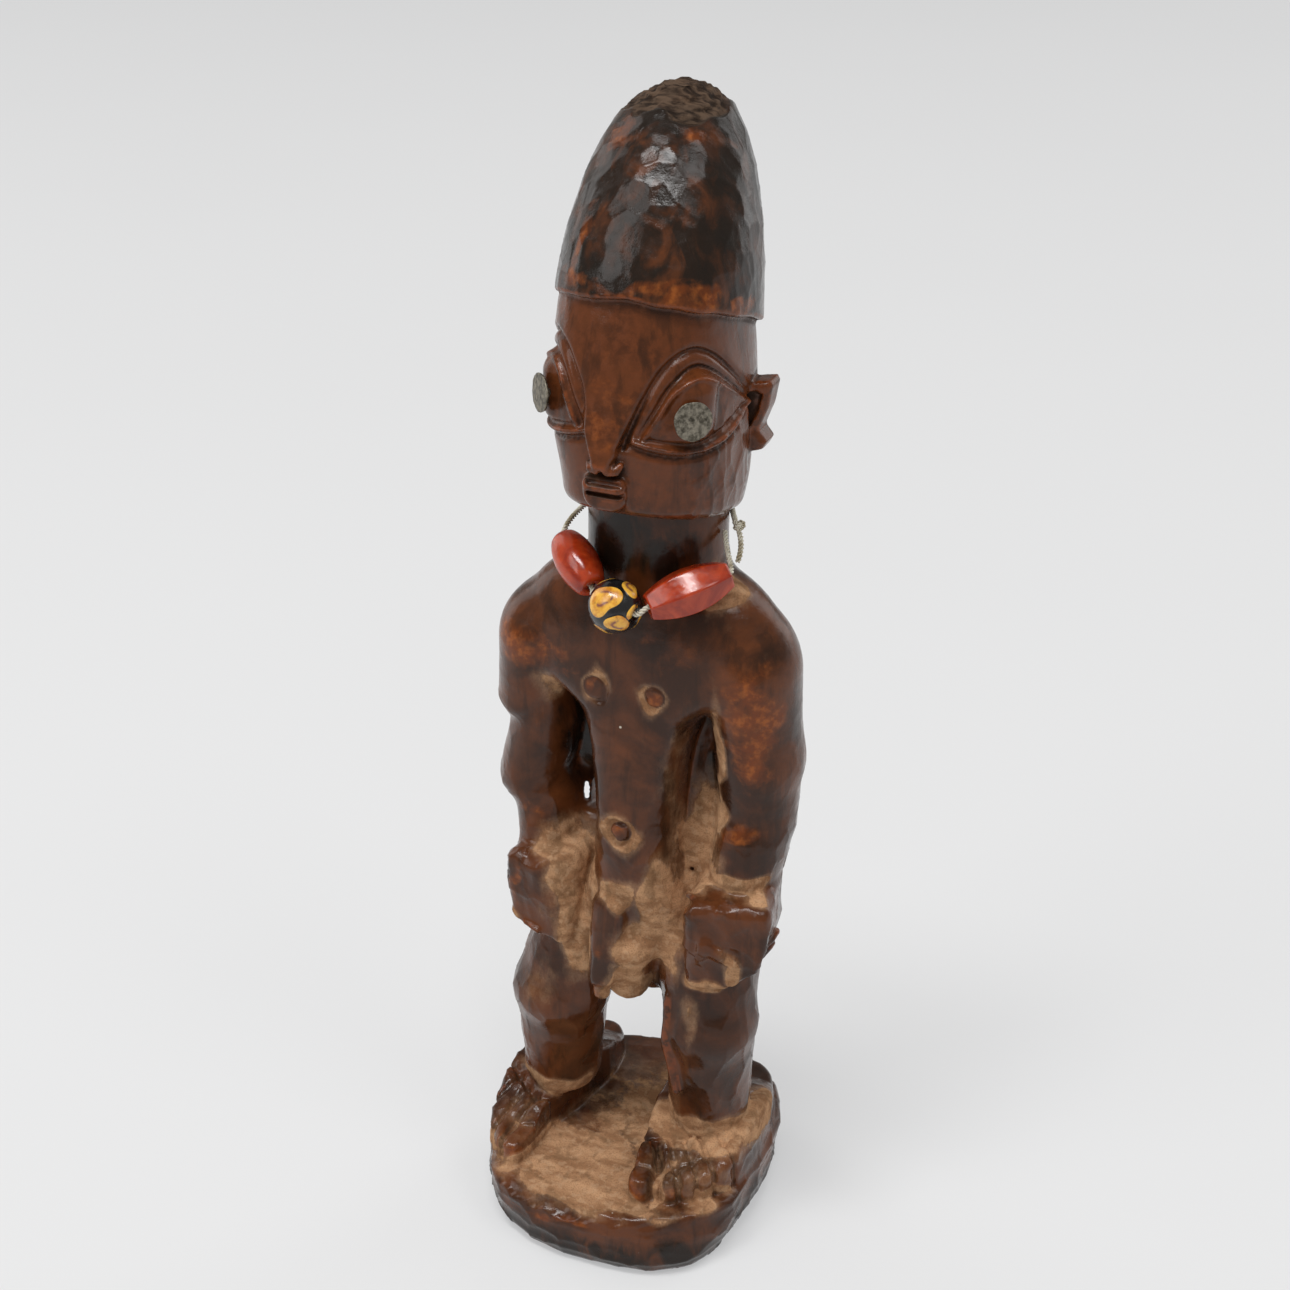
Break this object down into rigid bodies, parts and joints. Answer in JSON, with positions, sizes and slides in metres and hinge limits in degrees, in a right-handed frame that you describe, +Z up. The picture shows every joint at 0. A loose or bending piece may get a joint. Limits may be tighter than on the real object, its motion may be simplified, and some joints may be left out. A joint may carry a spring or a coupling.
{
  "type": "fertility doll",
  "caption": "Carved wooden standing doll with tall conical headdress and nailed metal eyes, on a small integral base, wearing a loose knotted bead necklace.",
  "frame": {"origin": "middle of the underside of the base", "axes": "+Z up along the figure's height, -Y the way the figure faces, +X towards the figure's own left"},
  "size_m": [0.0729, 0.0724, 0.2702],
  "materials": {
    "dark_wood": "hand carved facets under a semi-gloss handled patina",
    "dull_metal": "dull mottled grey nail heads",
    "carnelian": "polished translucent orange-red stone",
    "black_glass": "black lampworked glass with ochre patches and purple-brown trails",
    "cotton": "twisted undyed cotton string"
  },
  "bodies": {
    "figure": {"carved_figure": "dark_wood", "eye_disc_left": "dull_metal", "eye_disc_right": "dull_metal"},
    "necklace": {"necklace_cord": "cotton", "cord_knot": "cotton"},
    "bead_left": {"carnelian_bead_left": "carnelian"},
    "bead_middle": {"trade_bead": "black_glass"},
    "bead_right": {"carnelian_bead_right": "carnelian"}
  },
  "joints": [
    {"name": "necklace_lift", "type": "hinge", "parent": "figure", "child": "necklace", "pos_m": [0, 0.0215, 0.1804], "axis": [-1, 0, 0], "range_deg": [0, 10]},
    {"name": "bead_left_spin", "type": "hinge", "parent": "necklace", "child": "bead_left", "pos_m": [0.0141, -0.01065, 0.1712], "axis": [0.7282, 0.628, 0.2744], "continuous": true},
    {"name": "bead_middle_spin", "type": "hinge", "parent": "necklace", "child": "bead_middle", "pos_m": [0.0002, -0.0172, 0.1679], "axis": [0.984, -0.1351, -0.1158], "continuous": true},
    {"name": "bead_right_spin", "type": "hinge", "parent": "necklace", "child": "bead_right", "pos_m": [-0.01135, -0.0107, 0.1731], "axis": [0.7104, -0.5548, -0.433], "continuous": true}
  ]
}
